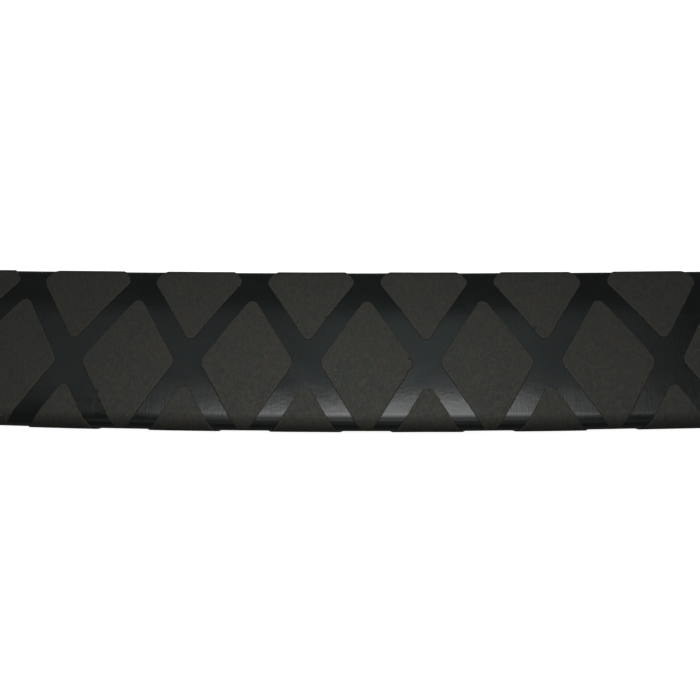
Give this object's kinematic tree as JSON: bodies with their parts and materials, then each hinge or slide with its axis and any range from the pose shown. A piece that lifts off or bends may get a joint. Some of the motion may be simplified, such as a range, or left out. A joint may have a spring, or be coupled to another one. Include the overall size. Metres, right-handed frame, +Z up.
{
  "type": "grip sleeve",
  "caption": "Flattened anti-slip grip sleeve: a thin open-ended black tube with a staggered lattice of raised matt diamond pads and glossy channels between them.",
  "frame": {"origin": "middle of the face that the sleeve lies on, at the centre of the bounding box's base", "axes": "+X along the sleeve, +Y from its front fold to its far fold, +Z up from the face it lies on"},
  "size_m": [0.2, 0.0472, 0.0098],
  "materials": {
    "sleeve": "smooth glossy black polyolefin",
    "grip_pad": "matt brownish black, fine-grained"
  },
  "bodies": {
    "root": {"sleeve_tube": "sleeve", "front_pad_1": "grip_pad", "front_pad_2": "grip_pad", "front_pad_3": "grip_pad", "front_pad_4": "grip_pad", "front_pad_5": "grip_pad", "front_pad_6": "grip_pad", "front_pad_7": "grip_pad", "upper_pad_1": "grip_pad", "upper_pad_2": "grip_pad", "upper_pad_3": "grip_pad", "upper_pad_4": "grip_pad", "upper_pad_5": "grip_pad", "upper_pad_6": "grip_pad", "upper_pad_7": "grip_pad", "upper_pad_8": "grip_pad", "lower_pad_1": "grip_pad", "lower_pad_2": "grip_pad", "lower_pad_3": "grip_pad", "lower_pad_4": "grip_pad", "lower_pad_5": "grip_pad", "lower_pad_6": "grip_pad", "lower_pad_7": "grip_pad", "lower_pad_8": "grip_pad", "underside_pad_1": "grip_pad", "underside_pad_2": "grip_pad", "underside_pad_3": "grip_pad", "underside_pad_4": "grip_pad", "underside_pad_5": "grip_pad", "underside_pad_6": "grip_pad", "underside_pad_7": "grip_pad"}
  },
  "joints": []
}
